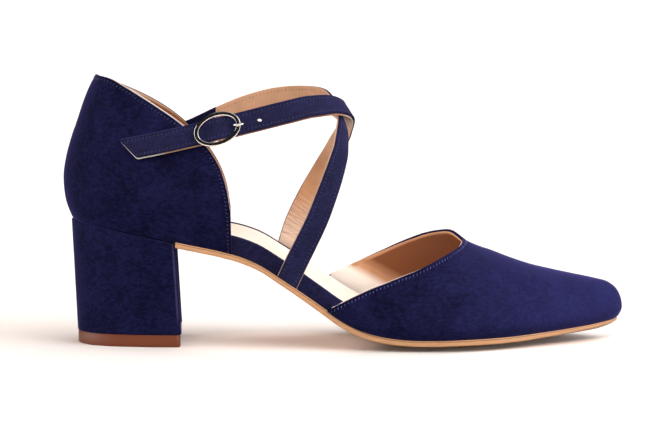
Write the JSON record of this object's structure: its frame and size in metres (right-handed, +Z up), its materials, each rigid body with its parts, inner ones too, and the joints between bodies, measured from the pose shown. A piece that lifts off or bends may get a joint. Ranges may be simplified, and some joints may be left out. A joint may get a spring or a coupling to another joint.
{
  "type": "cross-strap block-heel shoe",
  "caption": "Closed-toe dress shoe for the right foot with an open waist, crossed instep straps fastened by an oval buckle, and a covered block heel.",
  "frame": {"origin": "on the floor under the middle of the shoe's box", "axes": "+X towards the toe, +Y towards the arch side of the right foot, +Z up"},
  "size_m": [0.2432, 0.0838, 0.1162],
  "materials": {
    "suede": "navy suede with a short nap",
    "sock": "cream sock lining, satin",
    "sole": "tan sole leather, sealed edge",
    "tap": "brown heel rubber, satin",
    "metal": "polished plated wire"
  },
  "bodies": {
    "root": {"vamp": "suede", "counter": "suede", "cross_straps": "suede", "buckle_tab": "suede", "heel": "suede", "insole": "sock", "outsole": "sole", "heel_tap": "tap", "buckle_frame": "metal", "buckle_prong": "metal"}
  },
  "joints": []
}
